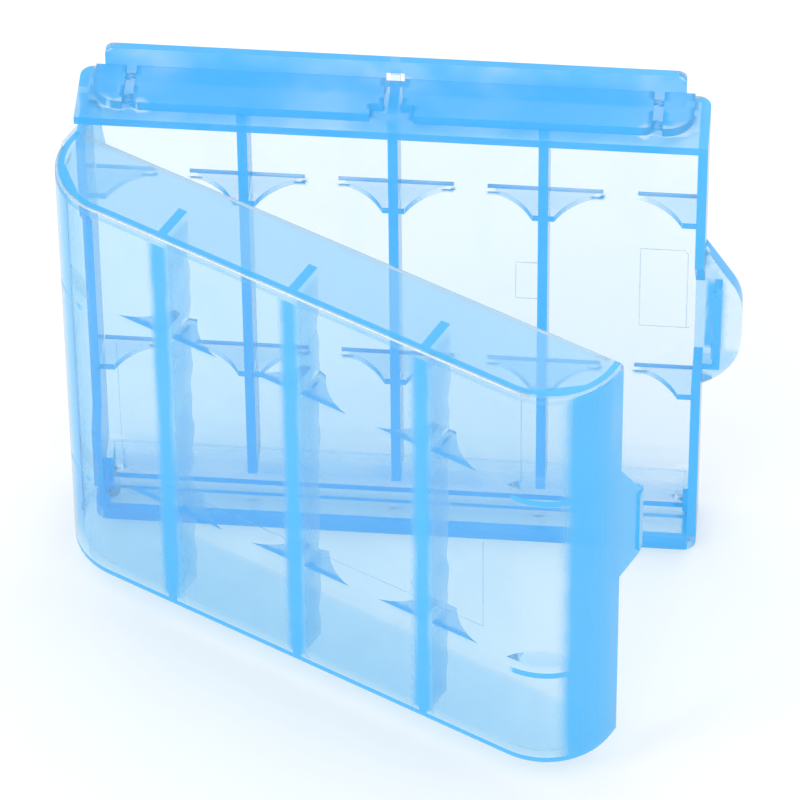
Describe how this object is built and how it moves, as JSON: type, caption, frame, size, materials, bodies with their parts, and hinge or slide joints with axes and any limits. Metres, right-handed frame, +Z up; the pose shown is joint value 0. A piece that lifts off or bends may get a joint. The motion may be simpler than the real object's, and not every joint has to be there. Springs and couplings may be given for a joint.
{
  "type": "battery storage case",
  "caption": "Flat see-through plastic case that stores round rechargeable cells side by side, with a hinged half, a snap latch and a rail for joining cases.",
  "frame": {"origin": "on the ground, in the middle of the tray's open front edge", "axes": "+X along the row of cells towards the latch, +Y from the lid's side to the tray's back, +Z up along the cells"},
  "size_m": [0.0889, 0.053, 0.0801],
  "materials": {
    "tray_plastic": "clear blue injection-moulded polypropylene, glossy",
    "lid_plastic": "clear blue injection-moulded polypropylene, glossy"
  },
  "bodies": {
    "tray": {"tray": "tray_plastic"},
    "lid": {"lid": "lid_plastic"},
    "latch_tongue": {"latch_tongue": "lid_plastic"},
    "link_tongue": {"link_tongue": "tray_plastic"}
  },
  "joints": [
    {"name": "lid_hinge", "type": "hinge", "parent": "tray", "child": "lid", "pos_m": [-0.03882, 0.00306, 0.0373], "axis": [0, 0, -1], "range_deg": [-26.76, 88]},
    {"name": "latch_flex", "type": "hinge", "parent": "lid", "child": "latch_tongue", "pos_m": [0.03184, -0.03621, 0.043], "axis": [0, 0, 1], "range_deg": [0, 4.5], "stiffness_Nm_per_rad": 0.4},
    {"name": "link_flex", "type": "hinge", "parent": "tray", "child": "link_tongue", "pos_m": [0, 0.00928, 0.07588], "axis": [1, 0, 0], "range_deg": [-8, 8], "stiffness_Nm_per_rad": 0.25}
  ]
}
